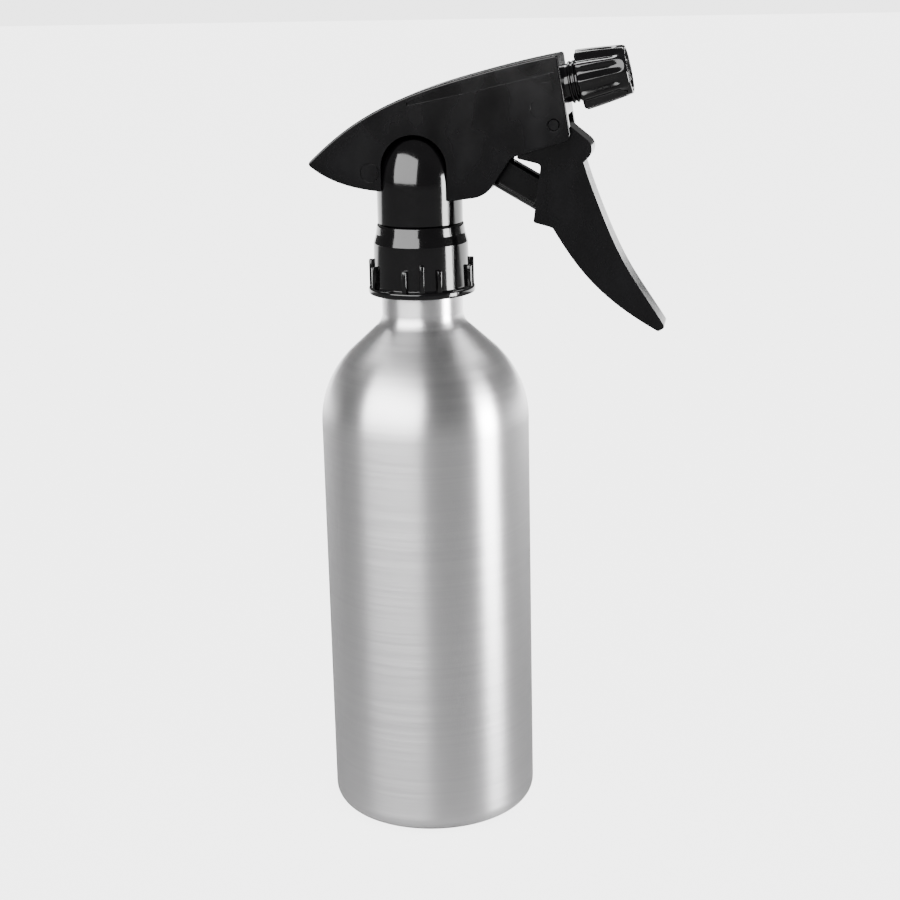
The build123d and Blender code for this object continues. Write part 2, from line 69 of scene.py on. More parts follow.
camera_data = bpy.data.cameras.new("camera")
camera_data.lens = 74.6
camera_data.sensor_width = 36.0
camera = bpy.data.objects.new("camera", camera_data)
bpy.context.scene.collection.objects.link(camera)
turn = Matrix.Rotation(radians(camera_heading), 4, "Z")
turn = turn @ Matrix.Rotation(radians(90 - camera_down), 4, "X")
turn = turn @ Matrix.Rotation(radians(camera_roll), 4, "Z")
camera.matrix_world = Matrix.Translation(camera_place) @ turn
bpy.context.scene.camera = camera
print("camera at", tuple(round(v, 3) for v in camera.location))

# %% [markdown]
# ## Room
# Polished plastic and metal show the room more than they show themselves. A product studio is
# bright behind and below the object and dark in front, so black plastic stays black and only its
# rims and the reflections of a few soft boxes are light. The floor is a pale sheet with a little
# glow of its own, which keeps it even from edge to edge and leaves only a faint contact shadow.

# %% Node helper
def add_node(tree, kind, **settings):
    """Add a node; a setting is either one of its properties or, as inputs, a dict of values."""
    node = tree.nodes.new(kind)
    for key, value in settings.pop("inputs", {}).items():
        node.inputs[key].default_value = value
    for key, value in settings.items():
        setattr(node, key, value)
    return node


# %% Floor
PALE = 4.7  # brightness of the studio's white, before the film's curve
floor_half = 6.0
floor_glow = PALE * 0.90  # seen directly
front_bounce = 0.18  # what the object sees of the floor in front of it
back_bounce = PALE * 0.9  # and behind it
bright_from = 0.50  # metres behind the object where the floor starts to brighten
bright_to = 0.70


def make_floor():
    mesh = bpy.data.meshes.new("floor")
    corners = [(-floor_half, -floor_half, 0), (floor_half, -floor_half, 0), (floor_half, floor_half, 0)]
    mesh.from_pydata(corners + [(-floor_half, floor_half, 0)], [], [(0, 1, 2, 3)])
    floor = bpy.data.objects.new("floor", mesh)
    bpy.context.scene.collection.objects.link(floor)
    paper = bpy.data.materials.new("paper")
    paper.use_nodes = True
    shader = paper.node_tree.nodes["Principled BSDF"]
    shader.inputs["Base Color"].default_value = (0.40, 0.40, 0.40, 1)
    shader.inputs["Roughness"].default_value = 1.0
    shader.inputs["Specular IOR Level"].default_value = 0.0
    shader.inputs["Emission Color"].default_value = (1, 1, 1, 1)
    tree = paper.node_tree
    place = add_node(tree, "ShaderNodeTexCoord")
    parts = add_node(tree, "ShaderNodeSeparateXYZ")
    bounce = add_node(tree, "ShaderNodeMapRange", interpolation_type="SMOOTHSTEP")
    ends = {"From Min": bright_from, "From Max": bright_to, "To Min": front_bounce, "To Max": back_bounce}
    for key, value in ends.items():
        bounce.inputs[key].default_value = value
    path = add_node(tree, "ShaderNodeLightPath")
    glow = add_node(tree, "ShaderNodeMapRange", inputs={"To Max": floor_glow})
    tree.links.new(place.outputs["Object"], parts.inputs[0])
    tree.links.new(parts.outputs["Y"], bounce.inputs["Value"])
    tree.links.new(bounce.outputs["Result"], glow.inputs["To Min"])
    tree.links.new(path.outputs["Is Camera Ray"], glow.inputs["Value"])
    tree.links.new(glow.outputs["Result"], shader.inputs["Emission Strength"])
    mesh.materials.append(paper)
    return floor


make_floor()
print("floor made,", 2 * floor_half, "m across")

# %% Surround: pale to look at, and dim where the object mirrors it
room_light = 0.22


def make_surround():
    world = bpy.data.worlds.new("surround")
    world.use_nodes = True
    tree = world.node_tree
    tree.nodes.clear()
    lit = add_node(tree, "ShaderNodeBackground", inputs={"Strength": room_light})
    seen = add_node(tree, "ShaderNodeBackground", inputs={"Strength": floor_glow + 0.03})
    path = add_node(tree, "ShaderNodeLightPath")
    mix = add_node(tree, "ShaderNodeMixShader")
    tree.links.new(path.outputs["Is Camera Ray"], mix.inputs["Fac"])
    tree.links.new(lit.outputs[0], mix.inputs[1])
    tree.links.new(seen.outputs[0], mix.inputs[2])
    output = add_node(tree, "ShaderNodeOutputWorld")
    tree.links.new(mix.outputs[0], output.inputs["Surface"])
    bpy.context.scene.world = world
    return world


print("surround:", make_surround().name)

# %% Soft boxes
def soft_box(name, azimuth, distance, low, high, width, brightness):
    """Panel at an azimuth round the mister, counted from the viewer towards the nozzle."""
    light = bpy.data.lights.new(name, "AREA")
    light.shape = "RECTANGLE"
    light.size = width
    light.size_y = high - low
    light.energy = brightness * light.size * light.size_y * pi
    box = bpy.data.objects.new(name, light)
    bpy.context.scene.collection.objects.link(box)
    around = radians(azimuth + camera_heading)
    box.location = (distance * sin(around), -distance * cos(around), (low + high) / 2)
    aim = Vector((0, 0, min(box.location.z, 0.2))) - box.location
    box.rotation_euler = aim.to_track_quat("-Z", "Y").to_euler()
    box.visible_diffuse = False
    return box


soft_box("low_box_right", 71, 0.62, 0.0, 0.29, 0.19, 42)
soft_box("wide_box_left", -39, 1.0, 0.20, 0.95, 1.35, 10)
soft_box("high_box_behind", 180, 0.9, 1.1, 1.5, 1.6, 11)
overhead = soft_box("overhead", 20, 0.5, 1.3, 2.3, 1.0, 7)
overhead.visible_diffuse = True
overhead.visible_glossy = False

# %% [markdown]
# ## Finishes
# Every finish is procedural and reads Object coordinates, so it keeps its real scale in
# millimetres and turns with the piece. Noise drives roughness, colour and bump together: a real
# surface is rougher where it is scratched, and a little lighter too. Values that are the same all
# over a surface stay on the shader's own sockets.

# %% Helpers for finishes
def new_finish(name, colour, roughness, **sockets):
    material = bpy.data.materials.new(name)
    material.use_nodes = True
    shader = material.node_tree.nodes["Principled BSDF"]
    shader.inputs["Base Color"].default_value = (*colour, 1)
    shader.inputs["Roughness"].default_value = roughness
    for key, value in sockets.items():
        shader.inputs[key.replace("_", " ")].default_value = value
    return material, material.node_tree, shader


def grain(tree, scale, detail=3.0):
    """Noise in Object coordinates; scale is lumps per metre along X, Y and Z."""
    place = add_node(tree, "ShaderNodeTexCoord")
    stretch = add_node(tree, "ShaderNodeMapping", inputs={"Scale": scale})
    noise = add_node(tree, "ShaderNodeTexNoise", inputs={"Scale": 1.0, "Detail": detail, "Roughness": 0.6})
    tree.links.new(place.outputs["Object"], stretch.inputs["Vector"])
    tree.links.new(stretch.outputs["Vector"], noise.inputs["Vector"])
    return noise.outputs["Fac"]


def spread(tree, source, low, high, socket, clip=(0.3, 0.7)):
    """Send a noise to a socket as values from low to high."""
    span = add_node(tree, "ShaderNodeMapRange")
    span.inputs["From Min"].default_value, span.inputs["From Max"].default_value = clip
    span.inputs["To Min"].default_value, span.inputs["To Max"].default_value = low, high
    tree.links.new(source, span.inputs["Value"])
    tree.links.new(span.outputs["Result"], socket)


def tint(tree, source, dark, light, socket, clip=(0.3, 0.7)):
    """Send a noise to a colour socket as a blend of two colours."""
    ramp = add_node(tree, "ShaderNodeValToRGB")
    ramp.color_ramp.elements[0].position, ramp.color_ramp.elements[1].position = clip
    ramp.color_ramp.elements[0].color = (*dark, 1)
    ramp.color_ramp.elements[1].color = (*light, 1)
    tree.links.new(source, ramp.inputs["Fac"])
    tree.links.new(ramp.outputs["Color"], socket)


def relief(tree, source, shader, depth, strength, under=None):
    """Bump of a depth in metres; under is a bump that lies below this one."""
    bump = add_node(tree, "ShaderNodeBump", inputs={"Strength": strength, "Distance": depth})
    tree.links.new(source, bump.inputs["Height"])
    if under:
        tree.links.new(under.outputs["Normal"], bump.inputs["Normal"])
    tree.links.new(bump.outputs["Normal"], shader.inputs["Normal"])
    return bump


# %% [markdown]
# ### Brushed aluminium
# The bottle is brushed while it spins, so its scratches run round it. A reflection smears across
# the scratches, never along them, which stretches each light into an upright band. That is what
# anisotropy does, given a tangent that runs round the bottle: the U direction of its UV map.

# %% Brushed aluminium
def brushed_aluminium():
    pale = (0.80, 0.79, 0.80)
    material, tree, shader = new_finish("brushed_aluminium", pale, 0.3, Metallic=1.0, Anisotropic=0.8)
    shader.inputs["Anisotropic Rotation"].default_value = 0.25
    round_it = add_node(tree, "ShaderNodeTangent", direction_type="UV_MAP", uv_map="turned")
    tree.links.new(round_it.outputs["Tangent"], shader.inputs["Tangent"])
    scratches = grain(tree, (35, 35, 6500), 3.0)
    bands = grain(tree, (12, 12, 900), 2.0)
    clouds = grain(tree, (22, 22, 14), 2.0)
    mixed = add_node(tree, "ShaderNodeMath", operation="ADD")
    halved = add_node(tree, "ShaderNodeMath", operation="MULTIPLY")
    halved.inputs[1].default_value = 0.5
    tree.links.new(scratches, mixed.inputs[0])
    tree.links.new(bands, mixed.inputs[1])
    tree.links.new(mixed.outputs[0], halved.inputs[0])
    spread(tree, halved.outputs[0], 0.29, 0.36, shader.inputs["Roughness"])
    tint(tree, halved.outputs[0], (0.75, 0.74, 0.755), (0.82, 0.815, 0.82), shader.inputs["Base Color"])
    waves = relief(tree, clouds, shader, 0.00015, 0.10)
    relief(tree, scratches, shader, 0.00002, 0.35, under=waves)
    return material


# %% [markdown]
# ### Moulded plastics
# Three grades of moulded plastic are seen. The collar and the pump come from a polished mould:
# near-mirror, with a trace of waviness. The shroud and the trigger come from a finely blasted
# mould: satin, with a grain that only shows where light grazes it. The valve pieces are natural.

# %% Plastics
def gloss_black():
    material, tree, shader = new_finish("gloss_black", (0.006, 0.0055, 0.0065), 0.08, Specular_IOR_Level=0.5)
    waves = grain(tree, (120, 120, 120), 1.0)
    dust = grain(tree, (2600, 2600, 2600), 2.0)
    spread(tree, dust, 0.05, 0.16, shader.inputs["Roughness"])
    tint(tree, waves, (0.004, 0.0036, 0.0044), (0.008, 0.0072, 0.0085), shader.inputs["Base Color"])
    flow = relief(tree, waves, shader, 0.0002, 0.08)
    relief(tree, dust, shader, 0.00001, 0.08, under=flow)
    return material


def satin_black():
    material, tree, shader = new_finish("satin_black", (0.008, 0.0078, 0.009), 0.14, Specular_IOR_Level=0.32)
    blast = grain(tree, (5200, 5200, 5200), 3.0)
    flow = grain(tree, (90, 90, 45), 2.0)
    spread(tree, flow, 0.11, 0.17, shader.inputs["Roughness"])
    tint(tree, flow, (0.0066, 0.0062, 0.0072), (0.0105, 0.010, 0.012), shader.inputs["Base Color"])
    soft = relief(tree, flow, shader, 0.0001, 0.04)
    relief(tree, blast, shader, 0.00001, 0.12, under=soft)
    return material


def natural_white():
    material, tree, shader = new_finish("natural_white", (0.80, 0.79, 0.75), 0.4, Subsurface_Weight=0.15)
    shader.inputs["Subsurface Radius"].default_value = (0.002, 0.002, 0.0018)
    flow = grain(tree, (200, 200, 90), 2.0)
    spread(tree, flow, 0.34, 0.5, shader.inputs["Roughness"])
    tint(tree, flow, (0.74, 0.73, 0.69), (0.84, 0.83, 0.80), shader.inputs["Base Color"])
    relief(tree, flow, shader, 0.00005, 0.15)
    return material


def natural_tube():
    milky = (0.82, 0.84, 0.84)
    material, tree, shader = new_finish("natural_tube", milky, 0.3, Transmission_Weight=0.55, IOR=1.5)
    drawn = grain(tree, (900, 900, 12), 2.0)
    spread(tree, drawn, 0.22, 0.42, shader.inputs["Roughness"])
    tint(tree, drawn, (0.76, 0.78, 0.78), (0.88, 0.90, 0.90), shader.inputs["Base Color"])
    relief(tree, drawn, shader, 0.00003, 0.2)
    return material


# %% Rubbers and steels
def soft_rubber():
    material, tree, shader = new_finish("soft_rubber", (0.02, 0.02, 0.021), 0.6)
    skin = grain(tree, (1500, 1500, 1500), 3.0)
    spread(tree, skin, 0.5, 0.72, shader.inputs["Roughness"])
    tint(tree, skin, (0.014, 0.014, 0.015), (0.03, 0.03, 0.031), shader.inputs["Base Color"])
    relief(tree, skin, shader, 0.00003, 0.3)
    return material


def foam_gasket():
    material, tree, shader = new_finish("foam_gasket", (0.72, 0.71, 0.68), 0.7)
    cells = grain(tree, (3200, 3200, 3200), 4.0)
    spread(tree, cells, 0.6, 0.85, shader.inputs["Roughness"])
    tint(tree, cells, (0.60, 0.59, 0.56), (0.80, 0.79, 0.77), shader.inputs["Base Color"])
    relief(tree, cells, shader, 0.00008, 0.4)
    return material


def drawn_wire():
    material, tree, shader = new_finish("drawn_wire", (0.62, 0.61, 0.60), 0.28, Metallic=1.0)
    die_lines = grain(tree, (2400, 2400, 300), 3.0)
    spread(tree, die_lines, 0.2, 0.38, shader.inputs["Roughness"])
    tint(tree, die_lines, (0.50, 0.49, 0.48), (0.72, 0.71, 0.70), shader.inputs["Base Color"])
    relief(tree, die_lines, shader, 0.00001, 0.25)
    return material


def polished_ball():
    material, tree, shader = new_finish("polished_ball", (0.78, 0.78, 0.79), 0.07, Metallic=1.0)
    pits = grain(tree, (2800, 2800, 2800), 2.0)
    spread(tree, pits, 0.04, 0.14, shader.inputs["Roughness"])
    tint(tree, pits, (0.70, 0.70, 0.71), (0.84, 0.84, 0.85), shader.inputs["Base Color"])
    relief(tree, pits, shader, 0.000005, 0.15)
    return material


finishes = {
    "aluminium": brushed_aluminium(),
    "black_gloss": gloss_black(),
    "black_satin": satin_black(),
    "clear_tube": natural_tube(),
    "white_plastic": natural_white(),
    "rubber_seal": soft_rubber(),
    "pale_gasket": foam_gasket(),
    "spring_steel": drawn_wire(),
    "steel_ball": polished_ball(),
}
slot_of = {sub["node"]: sub["material_slot"] for sub in frame["record"]["subparts"]}
for node_name, slot_name in slot_of.items():
    cad_mesh = frame["nodes"][node_name].data
    cad_mesh.materials.clear()
    cad_mesh.materials.append(finishes[slot_name])
print("finishes:", len(finishes), "on", len(slot_of), "CAD pieces")

# %% [markdown]
# ## Turned pieces
# Most of a spray bottle is round: the bottle, the collar, the pump's column, its nose and the cap.
# A modeller could use the Screw modifier, but a small lathe function gives control over the UV
# map that the brushed finish needs. Its outline is a list of (radius, height, corner) points, and
# each corner is rounded by its own radius, because no moulded or spun edge is truly sharp.

# %% Outline with rounded corners
def rounded(points, steps=5):
    """Outline of (radius, height) points from (radius, height, corner) ones."""
    outline = []
    for index, (x, y, corner) in enumerate(points):
        here = Vector((x, y))
        if not corner:
            outline.append((x, y))
            continue
        back = (Vector(points[index - 1][:2]) - here).normalized()
        ahead = (Vector(points[(index + 1) % len(points)][:2]) - here).normalized()
        half = back.angle(ahead) / 2
        centre = here + (back + ahead).normalized() * (corner / sin(half))
        first = here + back * (corner / tan(half)) - centre
        last = here + ahead * (corner / tan(half)) - centre
        sweep = atan2(first.x * last.y - first.y * last.x, first.dot(last))
        for step in range(steps + 1):
            angle = atan2(first.y, first.x) + sweep * step / steps
            outline.append((centre.x + corner * cos(angle), centre.y + corner * sin(angle)))
    return outline


def arc(centre, radius, start, end, steps):
    """Points on an arc, with its angles in degrees."""
    angles = [radians(start + (end - start) * step / steps) for step in range(steps + 1)]
    return [(centre[0] + radius * cos(a), centre[1] + radius * sin(a)) for a in angles]


def supported(outline, edge=0.25):
    """Closed outline with a point near both ends of every long straight, to keep flat walls flat."""
    held = []
    for index, point in enumerate(outline):
        here = Vector(point)
        after = Vector(outline[(index + 1) % len(outline)])
        held.append(tuple(here))
        span = (after - here).length
        if span > 2.0:
            held += [tuple(here.lerp(after, edge / span)), tuple(after.lerp(here, edge / span))]
    return held


# %% Lathe
def axis_frame(place, direction):
    """Matrix that carries Z to a direction and the origin to a place, in metres."""
    return Matrix.Translation(place) @ Vector(direction).to_track_quat("Z", "Y").to_matrix().to_4x4()


def link(name, mesh, finish, sharp=38):
    """Object for a finished mesh, smooth except at edges sharper than an angle."""
    mesh.materials.clear()
    mesh.materials.append(finish)
    mesh.polygons.foreach_set("use_smooth", [True] * len(mesh.polygons))
    mesh.set_sharp_from_angle(angle=radians(sharp))
    piece = bpy.data.objects.new(name, mesh)
    bpy.context.scene.collection.objects.link(piece)
    print(f"{name}: {len(mesh.polygons)} faces")
    return piece


def lathe_mesh(name, outline, place=Matrix(), segments=128):
    """Closed turned mesh from an outline in millimetres, with a UV map that runs round it."""
    outline = supported(outline)
    shape = bmesh.new()
    uv = shape.loops.layers.uv.new("turned")
    rings = []
    for radius, height in outline:
        count = 1 if radius < 1e-6 else segments
        angles = [2 * pi * step / segments for step in range(count)]
        points = [Vector((radius * cos(a), radius * sin(a), height)) * MM for a in angles]
        rings.append([shape.verts.new(place @ point) for point in points])
    travel = 0.0
    for index, ring in enumerate(rings):
        other = rings[(index + 1) % len(rings)]
        length = (Vector(outline[(index + 1) % len(outline)]) - Vector(outline[index])).length * MM
        if len(ring) + len(other) == 2:
            continue
        for step in range(segments):
            after = (step + 1) % segments
            corners = [(ring, step, travel), (ring, after, travel), (other, after, travel + length)]
            corners.append((other, step, travel + length))
            kept = []
            for loop, at, v in corners:
                vert = loop[at % len(loop)]
                if vert not in [k[0] for k in kept]:
                    kept.append((vert, (step + (at != step)) / segments, v))
            face = shape.faces.new([k[0] for k in kept])
            for corner, (_, u, v) in zip(face.loops, kept):
                corner[uv].uv = (u, v * 10)
        travel += length
    bmesh.ops.recalc_face_normals(shape, faces=shape.faces)
    mesh = bpy.data.meshes.new(name)
    shape.to_mesh(mesh)
    shape.free()
    return mesh


# %% [markdown]
# ## Bottle
# The bottle is one piece of aluminium, drawn and then spun in at the shoulder. Its outline is two
# arcs joined by a short cone: a round shoulder and a small hollow where it meets the neck. The
# same outline, moved inwards by the wall, makes the inside, so the shell is closed and hollow.

# %% Bottle outline
bottle_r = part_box("bottle")[1].x / MM
lip_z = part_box("bottle")[1].z / MM
wall = 0.8
corner_r = 5.85
body_top_z = 130.0
shoulder_r = 31.5
shoulder_turn = 47.7
foot_r = 6.0
neck_r = 12.75
neck_foot_z = lip_z - 22.55


def bottle_side(inwards):
    """Bottle outline from the corner of the base to the lip, moved inwards by a wall."""
    floor_arc = arc((bottle_r - corner_r, corner_r), corner_r - inwards, -90, 0, 10)
    straight = body_top_z - corner_r
    wall_rise = [(bottle_r - inwards, corner_r + straight * step / 12) for step in range(1, 12)]
    shoulder = arc((bottle_r - shoulder_r, body_top_z), shoulder_r - inwards, 0, shoulder_turn, 28)
    foot = arc((neck_r + foot_r, neck_foot_z), foot_r + inwards, 180 + shoulder_turn, 180, 10)
    return floor_arc + wall_rise + shoulder + foot


def make_bottle():
    outside = [(0, 0)] + bottle_side(0)
    inside = [(0, wall)] + bottle_side(wall)
    outline = outside + [(neck_r, lip_z - 0.4), (neck_r - 0.2, lip_z - 0.05), (neck_r - 0.4, lip_z)]
    outline += [(neck_r - wall, lip_z - 0.2)] + inside[::-1]
    return link("bottle_shell", lathe_mesh("bottle_shell", outline, segments=192), finishes["aluminium"])


bottle_shell = make_bottle()
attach(bottle_shell, "bottle")
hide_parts("bottle")

# %% [markdown]
# ## Threads
# A screw thread follows a rule, so Geometry Nodes draw it: a Spiral curve with equal radii is a
# helix, and Curve to Mesh runs a round bead along it. Half of the bead is sunk in the wall. The
# same tree makes the neck's coarse thread and the nose's fine one from four named inputs.

# %% Geometry Nodes helpers
def new_tree(name, **sizes):
    """Geometry node tree with a Geometry input and output, and one named input for each size."""
    tree = bpy.data.node_groups.new(name, "GeometryNodeTree")
    tree.interface.new_socket("Geometry", in_out="INPUT", socket_type="NodeSocketGeometry")
    tree.interface.new_socket("Geometry", in_out="OUTPUT", socket_type="NodeSocketGeometry")
    for label, value in sizes.items():
        kind = "NodeSocketInt" if isinstance(value, int) else "NodeSocketFloat"
        tree.interface.new_socket(label, in_out="INPUT", socket_type=kind).default_value = value
    return tree, tree.nodes.new("NodeGroupInput"), tree.nodes.new("NodeGroupOutput")


def close_tree(tree, last, finish, output):
    """End a tree in Realize Instances and Set Material."""
    realize = add_node(tree, "GeometryNodeRealizeInstances")
    paint = add_node(tree, "GeometryNodeSetMaterial", inputs={"Material": finish})
    tree.links.new(last, realize.inputs["Geometry"])
    tree.links.new(realize.outputs["Geometry"], paint.inputs["Geometry"])
    tree.links.new(paint.outputs["Geometry"], output.inputs["Geometry"])


def grow(name, mesh, tree, **sizes):
    """Run a tree on a mesh with the given sizes and return the result as a plain mesh."""
    seed = bpy.data.objects.new(name, mesh)
    bpy.context.scene.collection.objects.link(seed)
    modifier = seed.modifiers.new(name, "NODES")
    modifier.node_group = tree
    sockets = {item.name: item.identifier for item in tree.interface.items_tree if item.in_out == "INPUT"}
    for label, value in sizes.items():
        modifier[sockets[label]] = value
    ready = seed.evaluated_get(bpy.context.evaluated_depsgraph_get())
    grown = bpy.data.meshes.new_from_object(ready)
    bpy.data.objects.remove(seed)
    print(f"{name}: {len(grown.polygons)} faces grown")
    return grown


# %% Thread tree
def thread_tree(finish):
    tree, inputs, output = new_tree("thread", Radius=0.01, Pitch=0.002, Turns=3.0, Bead=0.0005)
    height = add_node(tree, "ShaderNodeMath", operation="MULTIPLY")
    tree.links.new(inputs.outputs["Pitch"], height.inputs[0])
    tree.links.new(inputs.outputs["Turns"], height.inputs[1])
    helix = add_node(tree, "GeometryNodeCurveSpiral", inputs={"Resolution": 64})
    for source, target in (("Turns", "Rotations"), ("Radius", "Start Radius"), ("Radius", "End Radius")):
        tree.links.new(inputs.outputs[source], helix.inputs[target])
    tree.links.new(height.outputs[0], helix.inputs["Height"])
    bead = add_node(tree, "GeometryNodeCurvePrimitiveCircle", inputs={"Resolution": 10})
    tree.links.new(inputs.outputs["Bead"], bead.inputs["Radius"])
    sweep = add_node(tree, "GeometryNodeCurveToMesh", inputs={"Fill Caps": True})
    tree.links.new(helix.outputs["Curve"], sweep.inputs["Curve"])
    tree.links.new(bead.outputs["Curve"], sweep.inputs["Profile Curve"])
    close_tree(tree, sweep.outputs["Mesh"], finish, output)
    return tree


def make_thread(name, place, finish, radius, pitch, turns, bead):
    sizes = {"Radius": radius * MM, "Pitch": pitch * MM, "Turns": float(turns), "Bead": bead * MM}
    mesh = grow(name, bpy.data.meshes.new(name), thread_tree(finish), **sizes)
    mesh.transform(place)
    return link(name, mesh, finish, sharp=60)


# %% Neck thread
neck_thread_z = lip_z - 11.6
thread_start = Matrix.Translation((0, 0, neck_thread_z * MM))
neck_thread = make_thread("neck_thread", thread_start, finishes["aluminium"], neck_r + 0.1, 4.23, 1.5, 0.75)
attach(neck_thread, "bottle")

# %% [markdown]
# ## Closure collar
# The collar is a moulded screw cap with a wide foot, a bevelled waist and twelve grip ribs. The
# wall is turned on the lathe. The ribs repeat in four groups of three, so one small rib with
# rounded edges is modelled and Geometry Nodes set it round the skirt.

# %% Collar wall
collar_low, collar_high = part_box("closure_collar")
foot_z = collar_low.z / MM
top_z = collar_high.z / MM
flange_r = collar_high.x / MM
flange_t = 2.1
skirt_r = 15.0
skirt_draft = 0.25  # how much narrower the skirt is at its top
bevel_foot = 5.8  # down from the collar's top
bevel_top = 3.0
waist_r = 13.95
collar_top_r = 13.5
bore_r = 13.95
deck = 2.0


def make_collar():
    outline = rounded([
        (bore_r, foot_z, 0.2),
        (flange_r, foot_z, 0.5),
        (flange_r, foot_z + flange_t, 0.65),
        (skirt_r, foot_z + flange_t, 0.35),
        (skirt_r - skirt_draft, top_z - bevel_foot, 0.8),
        (waist_r, top_z - bevel_top, 0.6),
        (collar_top_r, top_z, 0.5),
        (10.0, top_z, 0.15),
        (10.0, top_z - deck, 0),
        (12.6, top_z - deck, 0),
        (12.6, lip_z + 0.9, 0),
        (13.05, lip_z + 0.4, 0),
        (13.05, lip_z - 2.6, 0),
        (bore_r, lip_z - 3.6, 0),
    ])
    return link("collar_wall", lathe_mesh("collar_wall", outline, segments=160), finishes["black_gloss"])


collar_wall = make_collar()
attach(collar_wall, "closure")
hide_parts("closure_collar")

# %% One rib with rounded edges
rib_width = 1.5
rib_reach = 16.4
rib_tall = 10.6
rib_short = 8.9


def rib_mesh(height):
    """Upright rib at the front of the skirt, standing on the flange."""
    shape = bmesh.new()
    bmesh.ops.create_cube(shape, size=1.0)
    depth = rib_reach - skirt_r + 0.6
    low_z = foot_z + 1.9
    size = Vector((depth, rib_width, foot_z + height - low_z)) * MM
    centre = Vector((rib_reach - depth / 2, 0, (foot_z + height + low_z) / 2)) * MM
    bmesh.ops.scale(shape, vec=size, verts=shape.verts)
    bmesh.ops.translate(shape, vec=centre, verts=shape.verts)
    bmesh.ops.bevel(shape, geom=shape.edges[:], offset=0.42 * MM, segments=3, profile=0.5, affect="EDGES")
    mesh = bpy.data.meshes.new("rib")
    shape.to_mesh(mesh)
    shape.free()
    return mesh


# %% Ring tree: copies of a piece round the Z axis
def ring_tree(finish):
    tree, inputs, output = new_tree("ring", Count=4, First=0.0, Step=pi / 2)
    points = add_node(tree, "GeometryNodePoints")
    tree.links.new(inputs.outputs["Count"], points.inputs["Count"])
    index = add_node(tree, "GeometryNodeInputIndex")
    angle = add_node(tree, "ShaderNodeMath", operation="MULTIPLY_ADD")
    tree.links.new(index.outputs["Index"], angle.inputs[0])
    tree.links.new(inputs.outputs["Step"], angle.inputs[1])
    tree.links.new(inputs.outputs["First"], angle.inputs[2])
    spin = add_node(tree, "ShaderNodeCombineXYZ")
    tree.links.new(angle.outputs[0], spin.inputs["Z"])
    copies = add_node(tree, "GeometryNodeInstanceOnPoints")
    tree.links.new(points.outputs[0], copies.inputs["Points"])
    tree.links.new(inputs.outputs["Geometry"], copies.inputs["Instance"])
    tree.links.new(spin.outputs["Vector"], copies.inputs["Rotation"])
    close_tree(tree, copies.outputs["Instances"], finish, output)
    return tree


# %% Grip ribs
grip_first = -79.0
grip_spread = 20.0


def joined(meshes, name):
    """One mesh from several."""
    shape = bmesh.new()
    for mesh in meshes:
        shape.from_mesh(mesh)
    whole = bpy.data.meshes.new(name)
    shape.to_mesh(whole)
    shape.free()
    return whole


def make_grip_ribs():
    tree = ring_tree(finishes["black_gloss"])
    sides = (grip_first - grip_spread, grip_first + grip_spread)
    groups = ((rib_tall, grip_first), (rib_short, sides[0]), (rib_short, sides[1]))
    rings = []
    for height, first in groups:
        rings.append(grow("grip_ring", rib_mesh(height), tree, Count=4, First=radians(first), Step=pi / 2))
    return link("grip_ribs", joined(rings, "grip_ribs"), finishes["black_gloss"], sharp=60)


grip_ribs = make_grip_ribs()
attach(grip_ribs, "closure")

# %% [markdown]
# ## Pump body
# The pump is one moulding with three axes: an upright column with a domed top, a nose for the
# nozzle, and a slanted cylinder for the piston. The dome must flow out of the column without a
# break in its gloss, so the two are one outline: half an ellipse that starts tangent to the wall.
# A pulled trigger pushes the piston into the column, so its bore is cut there with a Boolean.

# %% Column, nose and cylinder
record_joints = {joint["name"]: joint for joint in frame["record"]["behaviour"]["joints"]}
nozzle_joint = record_joints["nozzle_turn"]
nozzle_frame = axis_frame(Vector(nozzle_joint["pos_m"]), nozzle_joint["axis"])
piston_frame = axis_frame(Vector((26.65, 0, 208.25)) * MM, record_joints["piston_slide"]["axis"])
column_r = 13.3
column_z = top_z + 0.1
dome_z = column_z + 17.45
dome_start_z = dome_z - 6.0  # the wall starts to lean in a little below
dome_rise = dome_z + column_r - dome_start_z
nose_r = 5.75
piston_bore = (3.0, 19.6, 5.6)  # start, end and radius along the piston's axis


def cut_out(name, mesh, tool_mesh):
    """Mesh with a closed mesh cut out of it."""
    solid = bpy.data.objects.new(name, mesh)
    tool = bpy.data.objects.new(name + "_tool", tool_mesh)
    for piece in (solid, tool):
        bpy.context.scene.collection.objects.link(piece)
    cut = solid.modifiers.new("bore", "BOOLEAN")
    cut.operation = "DIFFERENCE"
    cut.solver = "EXACT"
    cut.object = tool
    ready = solid.evaluated_get(bpy.context.evaluated_depsgraph_get())
    finished = bpy.data.meshes.new_from_object(ready)
    for piece in (solid, tool):
        bpy.data.objects.remove(piece)
    return finished


def make_pump_column():
    under = lip_z + 1.25
    outline = [(0, under + 11.0), (5.0, under + 11.0), (5.0, under), (12.1, under)]
    outline += [(12.3, under + 0.2), (12.3, under + 1.9), (9.9, under + 1.9), (9.9, column_z)]
    outline += [(column_r - 0.35, column_z), (column_r, column_z + 0.35)]
    dome = [(x, dome_start_z + z * dome_rise) for x, z in arc((0, 0), 1.0, 0, 90, 36)[:-1]]
    outline += [(x * column_r, z) for x, z in dome] + [(0, dome_z + column_r)]
    start, end, radius = piston_bore
    hole = [(0, start), (radius, start), (radius, end), (0, end)]
    bore = lathe_mesh("bore", hole, piston_frame, segments=96)
    mesh = cut_out("pump_column", lathe_mesh("pump_column", outline, segments=160), bore)
    return link("pump_column", mesh, finishes["black_gloss"])


